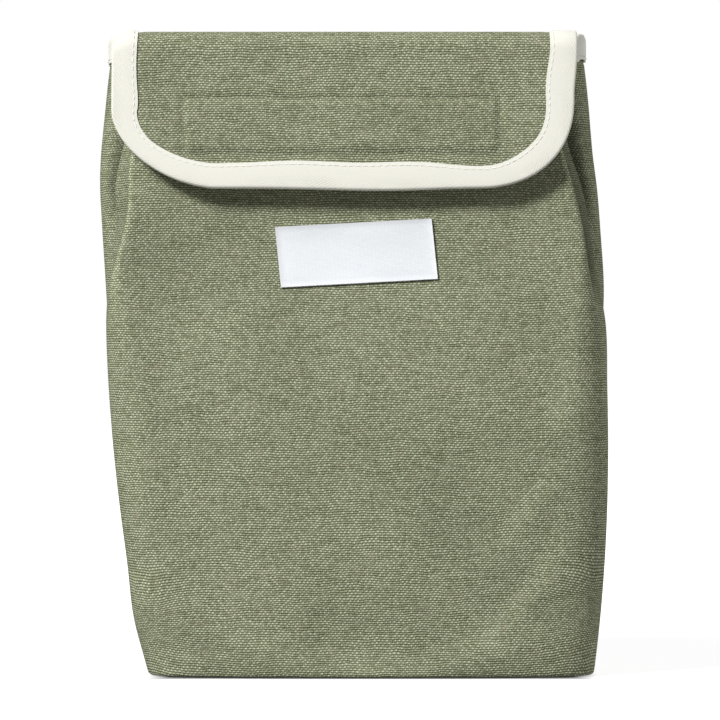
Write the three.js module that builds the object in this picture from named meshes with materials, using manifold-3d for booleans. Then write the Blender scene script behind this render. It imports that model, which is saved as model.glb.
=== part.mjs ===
// Insulated lunch bag: a boxed canvas body with foam and silver film inside, and a padded flap that folds over the
// mouth, bound in tape and closed by a hook-and-loop strip.
// Millimetres, +Z up, the front towards -Y, the origin at the middle of the base.

import * as THREE from "three";
import { mergeVertices } from "three/addons/utils/BufferGeometryUtils.js";
import Module from "manifold-3d";

const wasm = await Module();
wasm.setup();

// Body, measured over the canvas
const TOTAL_HEIGHT = 270; // floor to the top of the closed flap
const BASE_WIDTH = 188;
const BASE_DEPTH = 110;
const BELLY_WIDTH = 211;
const BELLY_DEPTH = 116;
const WIDEST_HEIGHT = 140; // height of the greatest width
const DEEPEST_HEIGHT = 90; // height of the greatest depth
const RIM_WIDTH = 205; // across the back corners of the mouth
const FRONT_RIM_WIDTH = 158; // across the front corners, which the closed flap draws in
const RIM_DEPTH = 72;
const DEPTH_EASE = 60; // height over which the walls turn from upright to their straight lean
const TUCK_HEIGHT = 130; // the sides are drawn in above this height
const SEAM_TUCK = 5; // how far the side seam is pressed in at the rim
const WALL_CROWN = 4; // how far the front and back walls belly out in the middle
const BASE_EDGE = 3; // turned edge between the walls and the base
const BASE_CORNER = 18; // reach of the rounded upright corners, at the base
const BELLY_CORNER = 8; // and how much further they reach half way up
const RIM_CORNER = 6; // and at the rim
const BASE_TAPER = 2.2; // powers of the curves that draw the body in
const RIM_TAPER = 2;
const TUCK_TAPER = 1.5;

// Cloth and padding
const CANVAS = 1.2;
const WALL_FOAM = 4;
const FLAP_FOAM = 2.4;
const FILM = 0.6;
const TAPE = 0.8;
const GAP = 0.3; // clearance between pieces that lie on each other

// Flap, tape, closure and label
const FLAP_WIDTH = 192; // canvas, inside the tape's fold
const FLAP_DROP = 64.6; // canvas, from the top fold down the front
const FLAP_CORNER = 35;
const TAPE_WIDTH = 11.5; // the folded tape's face
const TAB_MARGIN = 2; // between the flap's root and the sides' lining
const STRIP_LENGTH = 136;
const STRIP_HEIGHT = 27;
const STRIP_THICKNESS = 1.4;
const STRIP_CORNER = 2;
const STRIP_LIFT = 12.4; // from the flap's canvas edge up to the strip
const LABEL_WIDTH = 66;
const LABEL_HEIGHT = 25.5;
const LABEL_THICKNESS = 0.5;
const LABEL_DROP = 13; // from the flap's edge down to the label's top
const LABEL_ASIDE = 2; // off the middle, to the right
const LABEL_TURN = THREE.MathUtils.degToRad(3.5); // sewn on a little askew

// How finely curves are cut
const WALL_STEPS = 4;
const CORNER_STEPS = 4;
const SIDE_STEPS = 2;
const LEVELS_BELOW_FLAP = 6;
const FLAP_CORNER_STEPS = 5; // half the steps of each rounded corner
const FAR = 600; // reach of the blocks that cut

// Sizes that follow
const WRAP = GAP + TAPE; // how far the tape stands off what it binds
const WALL = CANVAS + GAP + WALL_FOAM + GAP + FILM;
const FLAP = CANVAS + GAP + FLAP_FOAM + GAP + FILM;
const FLAP_TOP = TOTAL_HEIGHT - WRAP; // outer face of the flap's canvas
const FLAP_UNDERSIDE = FLAP_TOP - FLAP;
const RIM_HEIGHT = FLAP_UNDERSIDE - WRAP - GAP - WRAP;
const WALL_SLOPE = (BELLY_DEPTH - RIM_DEPTH) / 2 / softStart(RIM_HEIGHT - DEEPEST_HEIGHT);
const LEAN = Math.atan(WALL_SLOPE);
const STANDOFF = 2 * (STRIP_THICKNESS + GAP) + GAP + FLAP; // front wall to the flap's outer face
const FOLD_Y = -RIM_DEPTH / 2 + WALL_SLOPE * (FLAP_TOP - RIM_HEIGHT) - STANDOFF / Math.cos(LEAN);
const FLAP_REAR_Y = RIM_DEPTH / 2 - CANVAS - GAP;
const FLAP_EDGE_HEIGHT = FLAP_TOP - FLAP_DROP * Math.cos(LEAN) - WRAP;
const FLAT_HEIGHT = FLAP_EDGE_HEIGHT - TAPE_WIDTH / 2; // the front wall is a plain slope above this
const FLOOR_HEIGHT = WALL + WRAP + BASE_EDGE; // and plain below this, where all layers turn into the base
const UPRIGHT_HEIGHT = RIM_HEIGHT + WRAP + GAP; // the back wall's canvas goes straight up from here to the flap
const TAB_FRONT_Y = RIM_DEPTH / 2 - WALL - WRAP;
const RIM_SIDES = sides(plan(UPRIGHT_HEIGHT), WALL);
const TAB_HALF_WIDTH = RIM_SIDES.seam + RIM_SIDES.backLean * TAB_FRONT_Y - TAB_MARGIN; // the flap's root

const canvas = new THREE.MeshStandardMaterial({ color: 0x8b8f74, roughness: 0.95, metalness: 0 });
const tape = new THREE.MeshStandardMaterial({ color: 0xf2f0e5, roughness: 0.9, metalness: 0 });
const foam = new THREE.MeshStandardMaterial({ color: 0xe8e8e4, roughness: 1, metalness: 0 });
const film = new THREE.MeshStandardMaterial({ color: 0xc4c7ca, roughness: 0.35, metalness: 0.6 });
const hooks = new THREE.MeshStandardMaterial({ color: 0x77795f, roughness: 0.8, metalness: 0 });
const satin = new THREE.MeshStandardMaterial({ color: 0xf2f5f8, roughness: 0.5, metalness: 0 });

// Solids from three.js geometry, and back

function solid(geometry) {
  const bare = new THREE.BufferGeometry();
  bare.setAttribute("position", geometry.getAttribute("position"));
  bare.setIndex(geometry.getIndex());
  const merged = mergeVertices(bare);
  const vertProperties = merged.getAttribute("position").array;
  const triVerts = new Uint32Array(merged.getIndex().array);
  return new wasm.Manifold(new wasm.Mesh({ numProp: 3, vertProperties, triVerts }));
}

function mesh(name, shape, material) {
  const { vertProperties, triVerts } = shape.getMesh();
  const geometry = new THREE.BufferGeometry();
  geometry.setAttribute("position", new THREE.BufferAttribute(vertProperties, 3));
  geometry.setIndex(new THREE.BufferAttribute(triVerts, 1));
  geometry.computeVertexNormals();
  const made = new THREE.Mesh(geometry, material);
  made.name = name;
  return made;
}

function block([x0, x1], [y0, y1], [z0, z1]) {
  const geometry = new THREE.BoxGeometry(x1 - x0, y1 - y0, z1 - z0);
  geometry.translate((x0 + x1) / 2, (y0 + y1) / 2, (z0 + z1) / 2);
  return solid(geometry);
}

// Everything past a plane that runs along X through the origin. The turn is that of its normal, from +Y towards +Z.
function beyond(turn, gap) {
  const geometry = new THREE.BoxGeometry(FAR, FAR, FAR);
  geometry.translate(0, gap + FAR / 2, 0);
  geometry.rotateX(turn);
  return solid(geometry);
}

// A flat outline drawn in X and Z, with its thickness from y0 to y1.
function plate(outline, y0, y1) {
  const options = { depth: y1 - y0, bevelEnabled: false, curveSegments: FLAP_CORNER_STEPS };
  const geometry = new THREE.ExtrudeGeometry(outline, options);
  geometry.rotateX(Math.PI / 2);
  geometry.translate(0, y1, 0);
  return solid(geometry);
}

// The body's plan at each height

// Nothing before zero, then a parabola over the ease, then a straight climb.
function softStart(rise) {
  if (rise <= 0) {
    return 0;
  }
  return rise < DEPTH_EASE ? rise ** 2 / (2 * DEPTH_EASE) : rise - DEPTH_EASE / 2;
}

function share(z, from, to) {
  return THREE.MathUtils.clamp((z - from) / (to - from), 0, 1);
}

function plan(height) {
  const z = THREE.MathUtils.clamp(height, 0, UPRIGHT_HEIGHT);
  const below = share(z, WIDEST_HEIGHT, 0) ** BASE_TAPER;
  const above = share(z, WIDEST_HEIGHT, RIM_HEIGHT) ** RIM_TAPER;
  const tuck = share(z, TUCK_HEIGHT, RIM_HEIGHT);
  const baseward = share(z, DEEPEST_HEIGHT, 0) ** 2;
  const belly = (BELLY_WIDTH - (BELLY_WIDTH - BASE_WIDTH) * below) / 2;
  const back = belly - ((BELLY_WIDTH - RIM_WIDTH) / 2) * above;
  const front = back - ((RIM_WIDTH - FRONT_RIM_WIDTH) / 2) * tuck ** TUCK_TAPER;
  const corner = THREE.MathUtils.lerp(BASE_CORNER, RIM_CORNER, z / RIM_HEIGHT);
  return {
    back,
    front,
    seam: (front + back) / 2 - SEAM_TUCK * tuck ** 2,
    depth:
      (BELLY_DEPTH - (BELLY_DEPTH - BASE_DEPTH) * baseward) / 2 - WALL_SLOPE * softStart(z - DEEPEST_HEIGHT),
    crown: WALL_CROWN * Math.sin(Math.PI * share(z, FLOOR_HEIGHT, FLAT_HEIGHT)) ** 2,
    corner: corner + BELLY_CORNER * Math.sin((Math.PI * z) / RIM_HEIGHT),
  };
}

// Half of a crowned wall and the rounded corner at its end, from the middle outwards. The side runs on to the seam.
function wallAndCorner(halfWidth, depth, crown, corner, seam) {
  const bow = (x) => depth + crown * (1 - (x / halfWidth) ** 2);
  const reach = halfWidth - corner;
  const end = new THREE.Vector2(halfWidth, depth);
  const side = new THREE.Vector2(seam, 0).sub(end).setLength(corner).add(end);
  const start = new THREE.Vector2(reach, bow(reach));
  const turn = new THREE.QuadraticBezierCurve(start, end, side).getPoints(CORNER_STEPS);
  const wall = [];
  for (let i = 0; i < WALL_STEPS; i++) {
    const x = (reach * i) / WALL_STEPS;
    wall.push(new THREE.Vector2(x, bow(x)));
  }
  for (let i = 1; i < SIDE_STEPS; i++) {
    turn.push(side.clone().lerp(new THREE.Vector2(seam, 0), i / SIDE_STEPS));
  }
  return [...wall, ...turn];
}

// How the right side's two halves run in plan, drawn in by the inset: both meet at the seam.
function sides(at, inset) {
  const frontLean = (at.seam - at.front) / at.depth;
  const backLean = (at.back - at.seam) / at.depth;
  const seam = at.seam - (inset * (Math.hypot(1, frontLean) + Math.hypot(1, backLean))) / 2;
  return { frontLean, backLean, seam };
}

// The body's outline at a height, counter-clockwise from the middle of the front, drawn in by the inset.
function section(height, inset) {
  const at = plan(height);
  const { frontLean, backLean, seam } = sides(at, inset);
  const depth = at.depth - inset;
  const corner = Math.max(at.corner - inset, RIM_CORNER / 3);
  const front = wallAndCorner(seam - frontLean * depth, depth, at.crown, corner, seam);
  const back = wallAndCorner(seam + backLean * depth, depth, at.crown, corner, seam);
  const right = [
    ...front.map((p) => new THREE.Vector2(p.x, -p.y)),
    new THREE.Vector2(seam, 0),
    ...back.reverse(),
  ];
  const left = right.slice(1, -1).reverse();
  return [...right, ...left.map((p) => new THREE.Vector2(-p.x, p.y))];
}

// The body as one closed form, drawn in by the inset all over and open to any height above the rim.
function bodyForm(inset, top) {
  const bottom = Math.max(inset, 0);
  const levels = [bottom, bottom + BASE_EDGE];
  for (let i = 1; i <= LEVELS_BELOW_FLAP; i++) {
    levels.push(levels[1] + ((FLAT_HEIGHT - levels[1]) * i) / LEVELS_BELOW_FLAP);
  }
  levels.push((FLAT_HEIGHT + RIM_HEIGHT) / 2, UPRIGHT_HEIGHT, top);
  const rings = levels.map((z, i) => section(z, inset + (i === 0 ? BASE_EDGE : 0)));
  const count = rings[0].length;
  const positions = rings.flatMap((ring, i) => ring.flatMap((p) => [p.x, p.y, levels[i]]));
  const faces = [];
  for (let level = 0; level < levels.length - 1; level++) {
    for (let i = 0; i < count; i++) {
      const next = (i + 1) % count;
      const low = level * count;
      const high = low + count;
      faces.push(low + i, low + next, high + next, low + i, high + next, high + i);
    }
  }
  const lid = (levels.length - 1) * count;
  for (const [a, b, c] of THREE.ShapeUtils.triangulateShape(rings[0], [])) {
    faces.push(a, c, b);
  }
  for (const [a, b, c] of THREE.ShapeUtils.triangulateShape(rings.at(-1), [])) {
    faces.push(lid + a, lid + b, lid + c);
  }
  const geometry = new THREE.BufferGeometry();
  geometry.setAttribute("position", new THREE.Float32BufferAttribute(positions, 3));
  geometry.setIndex(faces);
  return solid(geometry);
}

// One layer of the body's wall and base, from an outer inset to an inner one.
function layer(outer, inner) {
  return bodyForm(outer, TOTAL_HEIGHT).subtract(bodyForm(inner, TOTAL_HEIGHT + 1));
}

// Body: each layer is a front and a back panel, seamed down the sides and across the middle of the base

function bodyPanels() {
  const wide = [-FAR, FAR];
  const upToRim = [-FAR, RIM_HEIGHT];
  const frontHalf = block(wide, [-FAR, -GAP / 2], upToRim);
  const backHalf = block(wide, [GAP / 2, FAR], upToRim);
  const tab = (top) => block([-TAB_HALF_WIDTH, TAB_HALF_WIDTH], [TAB_FRONT_Y, FAR], [-FAR, top]);
  const underFlap = FLAP_UNDERSIDE - WRAP - GAP;
  const layers = [
    { name: ["outer_front_panel", "outer_back_panel"], thickness: CANVAS, tabTop: FLAP_TOP - GAP, material: canvas },
    { name: ["insulation_front", "insulation_back"], thickness: WALL_FOAM, tabTop: underFlap, material: foam },
    { name: ["lining_front", "lining_back"], thickness: FILM, tabTop: underFlap, material: film },
  ];
  let depth = 0;
  return layers.flatMap(({ name, thickness, tabTop, material }) => {
    const sheet = layer(depth, depth + thickness);
    depth += thickness + GAP;
    return [
      mesh(name[0], sheet.intersect(frontHalf), material),
      mesh(name[1], sheet.intersect(backHalf.add(tab(tabTop))), material),
    ];
  });
}

// Folded tape over the edges of all layers, from one side of the flap's root round the front to the other.
function rimBinding() {
  const wide = [-FAR, FAR];
  const band = block(wide, wide, [RIM_HEIGHT + WRAP - TAPE_WIDTH, RIM_HEIGHT + WRAP]);
  const bound = layer(-GAP, WALL + GAP).intersect(block(wide, wide, [-FAR, RIM_HEIGHT + GAP]));
  const root = TAB_HALF_WIDTH + GAP;
  const flapRoot = block([-root, root], [TAB_FRONT_Y - GAP, FAR], wide);
  const folded = layer(-WRAP, WALL + WRAP).intersect(band).subtract(bound).subtract(flapRoot);
  return mesh("rim_binding", folded, tape);
}

function roundedRectangle(width, height, radius) {
  const x = width / 2 - radius;
  const z = height / 2 - radius;
  const outline = new THREE.Shape();
  outline.absarc(x, z, radius, 0, Math.PI / 2);
  outline.absarc(-x, z, radius, Math.PI / 2, Math.PI);
  outline.absarc(-x, -z, radius, Math.PI, 1.5 * Math.PI);
  outline.absarc(x, -z, radius, 1.5 * Math.PI, 2 * Math.PI);
  return outline;
}

function wovenLabel() {
  const half = [LABEL_WIDTH / 2, LABEL_HEIGHT / 2];
  const outline = new THREE.Shape();
  outline.moveTo(-half[0], -half[1]);
  outline.lineTo(half[0], -half[1]);
  outline.lineTo(half[0], half[1]);
  outline.lineTo(-half[0], half[1]);
  const geometry = new THREE.ExtrudeGeometry(outline, { depth: FAR, bevelEnabled: false });
  geometry.rotateZ(LABEL_TURN);
  geometry.rotateX(Math.PI / 2);
  geometry.translate(LABEL_ASIDE, 0, FLAP_EDGE_HEIGHT - LABEL_DROP - LABEL_HEIGHT / 2);
  const lying = layer(-GAP - LABEL_THICKNESS, -GAP).intersect(solid(geometry));
  return mesh("woven_label", lying, satin);
}

// Flap: depths are counted inwards from the outer face of its canvas, and its own origin is on the front fold

const CANVAS_DEPTHS = [0, CANVAS];
const FOAM_DEPTHS = [CANVAS + GAP, CANVAS + GAP + FLAP_FOAM];
const FILM_DEPTHS = [FLAP - FILM, FLAP];
const TAPE_DEPTHS = [-WRAP, FLAP + WRAP];
const BOUND_DEPTHS = [-GAP, FLAP + GAP];
const MITRE = Math.PI / 4 - LEAN / 2; // turn of the mitre's normal at the front fold

// The part across the mouth, from the front fold back to the flap's root.
function flapTop() {
  const keep = beyond(MITRE, GAP / 2).intersect(beyond(0, GAP / 2));
  const rear = FLAP_REAR_Y - FOLD_Y;
  const half = FLAP_WIDTH / 2;
  const sheet = ([d0, d1]) => block([-half, half], [-FAR, rear], [-d1, -d0]).intersect(keep);
  const inner = half + WRAP - TAPE_WIDTH;
  const edge = block([inner, half + WRAP], [-FAR, rear], [-TAPE_DEPTHS[1], -TAPE_DEPTHS[0]]);
  const bound = block([0, half + GAP], [-FAR * 2, FAR], [-BOUND_DEPTHS[1], -BOUND_DEPTHS[0]]);
  const folded = edge.subtract(bound).intersect(keep);
  return [
    mesh("flap_top_canvas", sheet(CANVAS_DEPTHS), canvas),
    mesh("flap_top_insulation", sheet(FOAM_DEPTHS), foam),
    mesh("flap_top_lining", sheet(FILM_DEPTHS), film),
    mesh("flap_top_binding_left", folded.mirror([1, 0, 0]), tape),
    mesh("flap_top_binding_right", folded, tape),
  ];
}

// The flap's outline on the front, made larger or smaller all round. It runs past the fold, where the mitre cuts it.
function frontOutline(grow) {
  const half = FLAP_WIDTH / 2 + grow;
  const bottom = -FLAP_DROP - grow;
  const radius = FLAP_CORNER + grow;
  const outline = new THREE.Shape();
  outline.moveTo(-half, FLAP_DROP);
  outline.lineTo(-half, bottom + radius);
  outline.absarc(radius - half, bottom + radius, radius, Math.PI, 1.5 * Math.PI);
  outline.absarc(half - radius, bottom + radius, radius, 1.5 * Math.PI, 2 * Math.PI);
  outline.lineTo(half, FLAP_DROP);
  return outline;
}

// The part that hangs on the front, drawn upright.
function flapFront() {
  const keep = beyond(MITRE + LEAN + Math.PI, GAP / 2).intersect(beyond(1.5 * Math.PI, GAP / 2));
  const sheet = (grow, [d0, d1]) => plate(frontOutline(grow), d0, d1);
  const inside = sheet(WRAP - TAPE_WIDTH, [-FAR / 2, FAR / 2]);
  const folded = sheet(WRAP, TAPE_DEPTHS).subtract(inside).subtract(sheet(GAP, BOUND_DEPTHS));
  return [
    mesh("flap_front_canvas", sheet(0, CANVAS_DEPTHS).intersect(keep), canvas),
    mesh("flap_front_insulation", sheet(0, FOAM_DEPTHS).intersect(keep), foam),
    mesh("flap_front_lining", sheet(0, FILM_DEPTHS).intersect(keep), film),
    mesh("flap_front_binding", folded.intersect(keep), tape),
    closureStrip("hook_strip", FLAP + GAP),
  ];
}

// One half of the hook-and-loop closure, at a depth behind the flap's outer face.
function closureStrip(name, depth) {
  const outline = roundedRectangle(STRIP_LENGTH, STRIP_HEIGHT, STRIP_CORNER);
  const strip = mesh(name, plate(outline, depth, depth + STRIP_THICKNESS), hooks);
  strip.position.z = -FLAP_DROP + STRIP_LIFT + STRIP_HEIGHT / 2;
  return strip;
}

// Assembly

const top = new THREE.Group();
top.position.set(0, FOLD_Y, FLAP_TOP);
top.add(...flapTop());

const front = new THREE.Group();
front.rotation.x = -LEAN;
front.add(...flapFront());
top.add(front);

const frontWall = new THREE.Group(); // what is sewn to the front wall under the flap, in the flap's own frame
frontWall.position.copy(top.position);
frontWall.rotation.copy(front.rotation);
frontWall.add(closureStrip("loop_strip", STANDOFF - GAP - STRIP_THICKNESS));

const bag = new THREE.Group();
bag.add(...bodyPanels(), rimBinding(), wovenLabel(), frontWall, top);

export default bag;
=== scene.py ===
# %% [markdown]
# # Insulated lunch bag
# The bag is a boxed shell of coarse olive canvas over foam, lined with silver film. A padded flap,
# bound in cream tape, runs on from the back, folds over the mouth and closes on hook-and-loop. Such a
# thing could be carved from one block, but it would then bend and wear like a block. So every cloth
# here is laid as a sheet of its own, in the place that the imported part gives it, and some sheets are
# attached to the body that they are sewn to.

# %% Load the imported part
import math

import bpy
import numpy as np
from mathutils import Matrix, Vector


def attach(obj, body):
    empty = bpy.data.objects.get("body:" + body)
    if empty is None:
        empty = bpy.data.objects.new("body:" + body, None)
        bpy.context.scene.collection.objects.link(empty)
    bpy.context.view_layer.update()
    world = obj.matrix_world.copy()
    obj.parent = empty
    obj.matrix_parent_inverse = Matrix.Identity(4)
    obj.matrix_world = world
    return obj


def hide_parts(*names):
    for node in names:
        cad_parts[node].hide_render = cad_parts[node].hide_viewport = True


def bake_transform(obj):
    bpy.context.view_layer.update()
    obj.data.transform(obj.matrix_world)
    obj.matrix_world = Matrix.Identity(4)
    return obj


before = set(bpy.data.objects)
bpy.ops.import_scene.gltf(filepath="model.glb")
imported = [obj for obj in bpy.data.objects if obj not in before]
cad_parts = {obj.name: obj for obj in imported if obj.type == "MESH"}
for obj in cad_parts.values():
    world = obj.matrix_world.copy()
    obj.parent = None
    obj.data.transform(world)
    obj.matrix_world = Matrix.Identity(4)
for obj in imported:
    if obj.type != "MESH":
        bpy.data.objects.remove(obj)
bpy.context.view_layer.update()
MM = 0.001
bpy.ops.object.select_all(action="DESELECT")

# %% [markdown]
# ## Camera
# The photograph looks straight at the front, from far enough away that the sides hardly show. A short
# lens close by would widen the belly. A long lens two metres off, at half the bag's height, doesn't.

# %% Set up the camera
EYE_DISTANCE = 2.0
FRONT_PLANE = -0.055
EYE_HEIGHT = 0.1325
SENSOR_MM = 36
LENS_MM = 239
eye = (0, FRONT_PLANE - EYE_DISTANCE, EYE_HEIGHT)
bpy.ops.object.camera_add(location=eye, rotation=(math.pi / 2, 0, 0))
camera = bpy.context.object
camera.name = "photo_camera"
camera.data.sensor_width = SENSOR_MM
camera.data.lens = LENS_MM
bpy.context.scene.camera = camera
bpy.context.scene.view_settings.view_transform = "Standard"
print("camera at", tuple(round(x, 4) for x in camera.location), "lens", camera.data.lens)

# %% [markdown]
# ## Helpers for materials
# Blender's shader nodes could be placed one by one, with three lines for each. A few small functions
# keep the finishes below readable: each adds one kind of node with its inputs, and gives back what
# comes out of it.


# %% Node helpers
VECTOR = "NodeSocketVector"
FLOAT = "NodeSocketFloat"


def feed(tree, node, inputs):
    """Sets a node's inputs, by name or index, to numbers, colours or other nodes' outputs."""
    for socket, value in inputs.items():
        if isinstance(value, bpy.types.NodeSocket):
            tree.links.new(value, node.inputs[socket])
        else:
            node.inputs[socket].default_value = value


def shader_node(tree, kind, inputs=None, **settings):
    """The outputs of a new node with these settings and inputs."""
    made = tree.nodes.new(kind)
    for name, value in settings.items():
        setattr(made, name, value)
    feed(tree, made, inputs or {})
    return made.outputs


def calc(tree, operation, *values):
    """A number worked out from others."""
    return shader_node(tree, "ShaderNodeMath", dict(enumerate(values)), operation=operation)[0]


def vector_calc(tree, operation, *values):
    """The outputs of a sum on vectors."""
    return shader_node(tree, "ShaderNodeVectorMath", dict(enumerate(values)), operation=operation)


def scaled(tree, colour, by):
    """A colour or a vector times a number."""
    return shader_node(tree, "ShaderNodeVectorMath", {0: colour, "Scale": by}, operation="SCALE")[0]


def noise(tree, place, scale, detail, rough=0.5, **settings):
    """The outputs of a noise of a scale."""
    inputs = {"Vector": place, "Scale": scale, "Detail": detail, "Roughness": rough}
    return shader_node(tree, "ShaderNodeTexNoise", inputs, **settings)


def remap(tree, value, start, end, low, high, **settings):
    """A number from low to high, as a value goes from start to end."""
    inputs = {0: value, 1: start, 2: end, 3: low, 4: high}
    return shader_node(tree, "ShaderNodeMapRange", inputs, **settings)[0]


def ramp(tree, value, first, last, middle=None):
    """A colour from first to last, as a value goes from 0 to 1."""
    made = tree.nodes.new("ShaderNodeValToRGB")
    stops = made.color_ramp.elements
    stops[0].color = (*first, 1)
    stops[1].color = (*last, 1)
    if middle:
        stops.new(0.5).color = (*middle, 1)
    feed(tree, made, {0: value})
    return made.outputs["Color"]


def bumped(tree, height, strength, distance, **settings):
    """A normal bent by a height."""
    inputs = {"Height": height, "Strength": strength, "Distance": distance}
    return shader_node(tree, "ShaderNodeBump", inputs, **settings)[0]


def new_group(name, inputs, outputs):
    """An empty node group with named sockets, what is given to it, and its output node."""
    tree = bpy.data.node_groups.new(name, "ShaderNodeTree")
    for socket, kind in inputs.items():
        tree.interface.new_socket(socket, in_out="INPUT", socket_type=kind)
    for socket, kind in outputs.items():
        tree.interface.new_socket(socket, in_out="OUTPUT", socket_type=kind)
    return tree, tree.nodes.new("NodeGroupInput").outputs, tree.nodes.new("NodeGroupOutput")


def new_material(name):
    """A material with its own Principled shader, which is returned with the node tree."""
    material = bpy.data.materials.new(name)
    material.use_nodes = True
    return material, material.node_tree, material.node_tree.nodes["Principled BSDF"]


print("material helpers ready")

# %% [markdown]
# ## Floor and light
# The bag stands on a white sweep under soft studio light: a lamp up on the left, a weaker one on the
# right, one behind and an even glow all round. A brighter lamp would also whiten the floor, but it
# would bleach the cloth. So the floor and the world turn white only for the rays that reach the eye,
# and the floor still takes the shadow. Close round the bag's footprint, a painted contact shadow
# darkens the floor.

# %% Lay the floor and hang the lamps
GLOW = 0.075
SEEN_FLOOR = 0.86
FLOOR_BACK = 3
SHADE_ASIDE = 0.0048
SHADE_HALF_WIDTH = 0.084
SHADE_HALF_DEPTH = 0.058
WHITE = (1, 1, 1, 1)
AIM = Vector((0, 0, 0.13))


def seen_rays(tree):
    """1 for rays that reach the eye, also by a mirror or through glass, and 0 for all other rays."""
    rays = shader_node(tree, "ShaderNodeLightPath")
    seen = calc(tree, "MAXIMUM", rays["Is Camera Ray"], rays["Is Glossy Ray"])
    return calc(tree, "MAXIMUM", seen, rays["Is Transmission Ray"])


def past(tree, value, centre, half):
    """How far a value lies past a span on either side of its centre."""
    away = calc(tree, "ABSOLUTE", calc(tree, "SUBTRACT", value, centre))
    return calc(tree, "SUBTRACT", away, half)


def hang_lamp(name, place, size, power):
    """A square lamp that faces the middle of the bag."""
    turn = (AIM - Vector(place)).to_track_quat("-Z", "Y").to_euler()
    bpy.ops.object.light_add(type="AREA", location=place, rotation=turn)
    lamp = bpy.context.object
    lamp.name = name
    lamp.data.size = size
    lamp.data.energy = power
    return lamp


bpy.ops.mesh.primitive_plane_add(size=14, location=(0, FLOOR_BACK, -0.0004))
floor = bpy.context.object
floor.name = "floor"
floor_paint, tree, shader = new_material("white_floor")
place = shader_node(tree, "ShaderNodeTexCoord")["Object"]
far = vector_calc(tree, "DISTANCE", place, (0, -FLOOR_BACK, 0))["Value"]
white = remap(tree, far, 0.25, 0.9, SEEN_FLOOR, 1.1)
# A painted contact shadow: the floor's white is dimmed to a twentieth right next to the bag's footprint.
spot = shader_node(tree, "ShaderNodeSeparateXYZ", {0: place})
beside = past(tree, spot["X"], SHADE_ASIDE, SHADE_HALF_WIDTH)
before = past(tree, spot["Y"], -FLOOR_BACK, SHADE_HALF_DEPTH)
under = remap(tree, calc(tree, "MAXIMUM", beside, before), 0.001, 0.011, 0.05, 1)
white_with_painted_shadow = calc(tree, "MULTIPLY", white, under)
finish = {
    "Base Color": (0.3, 0.3, 0.3, 1),
    "Roughness": 1,
    "Specular IOR Level": 0,
    "Emission Color": WHITE,
    "Emission Strength": calc(tree, "MULTIPLY", seen_rays(tree), white_with_painted_shadow),
}
feed(tree, shader, finish)
floor.data.materials.append(floor_paint)

world = bpy.data.worlds.new("studio")
bpy.context.scene.world = world
world.use_nodes = True
tree = world.node_tree
glow = calc(tree, "MULTIPLY_ADD", seen_rays(tree), 1 - GLOW, GLOW)
feed(tree, tree.nodes["Background"], {"Strength": glow, "Color": WHITE})

key = hang_lamp("key_lamp", (-2.35, -2.45, 2.7), 1.0, 243)
fill = hang_lamp("side_lamp", (4.3, -0.35, 1.9), 1.6, 84)
rear = hang_lamp("rear_lamp", (0.8, 3.8, 2.3), 2.4, 60)
print("lamps:", key.data.energy, fill.data.energy, rear.data.energy, "watts; glow", GLOW)

# %% [markdown]
# ## Helpers for cloth
# A sheet of cloth is a grid of points. Its UV map holds the flat lengths in metres, so a weave drawn on
# that map keeps its thread size wherever the cloth bends. Unwrapping would guess those lengths; here
# they are simply measured.


# %% Cloth helpers
def share(value, start, end):
    """How far a value lies from start to end, from 0 to 1."""
    return min(max((value - start) / (end - start), 0.0), 1.0)


def eased(value, start, end):
    """A share from 0 to 1, with a soft start and stop."""
    part = share(value, start, end)
    return part * part * (3 - 2 * part)


def swell(value, centre, width):
    """A smooth hump of height 1."""
    return math.exp(-(((value - centre) / width) ** 2))


def grid_faces(rows, columns, flip, keep=None):
    """Quads of a grid of points. keep(row, column) leaves a quad out where it is false."""
    faces = []
    for row in range(rows - 1):
        for column in range(columns - 1):
            if keep is None or keep(row, column):
                low = row * columns + column
                quad = (low, low + 1, low + columns + 1, low + columns)
                faces.append(quad[::-1] if flip else quad)
    return faces


def lay_sheet(name, points, lengths, faces, material, painted_light=None):
    """A sheet of cloth from points and flat lengths in millimetres, with painted shade or highlight per
    point.
    """
    mesh = bpy.data.meshes.new(name)
    mesh.from_pydata((points.reshape(-1, 3) * MM).tolist(), [], faces)
    flat = lengths.reshape(-1, 2) * MM
    corners = np.zeros(len(mesh.loops), dtype=np.int32)
    mesh.loops.foreach_get("vertex_index", corners)
    mesh.uv_layers.new(name="cloth").data.foreach_set("uv", flat[corners].ravel())
    mesh.polygons.foreach_set("use_smooth", np.ones(len(faces), dtype=bool))
    if painted_light is not None:
        # The fold attribute carries painted shade in creases and a painted highlight on fold ridges.
        painted_light_layer = mesh.attributes.new("fold", "FLOAT", "POINT")
        painted_light_layer.data.foreach_set("value", painted_light.ravel().astype(np.float32))
    mesh.materials.append(material)
    sheet = bpy.data.objects.new(name, mesh)
    bpy.context.scene.collection.objects.link(sheet)
    return sheet


def pick(piece):
    """Makes one piece the only one selected, and the active one."""
    bpy.ops.object.select_all(action="DESELECT")
    piece.select_set(True)
    bpy.context.view_layer.objects.active = piece


def drop_loose(piece):
    """Removes points that no face uses."""
    pick(piece)
    bpy.ops.object.mode_set(mode="EDIT")
    bpy.ops.mesh.select_all(action="SELECT")
    bpy.ops.mesh.delete_loose()
    bpy.ops.object.mode_set(mode="OBJECT")


def refine(piece):
    """Halves every edge and smooths the form."""
    pick(piece)
    smooth = piece.modifiers.new("refine", "SUBSURF")
    smooth.levels = 1
    smooth.render_levels = 1
    smooth.boundary_smooth = "PRESERVE_CORNERS"
    bpy.ops.object.modifier_apply(modifier="refine")


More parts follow.
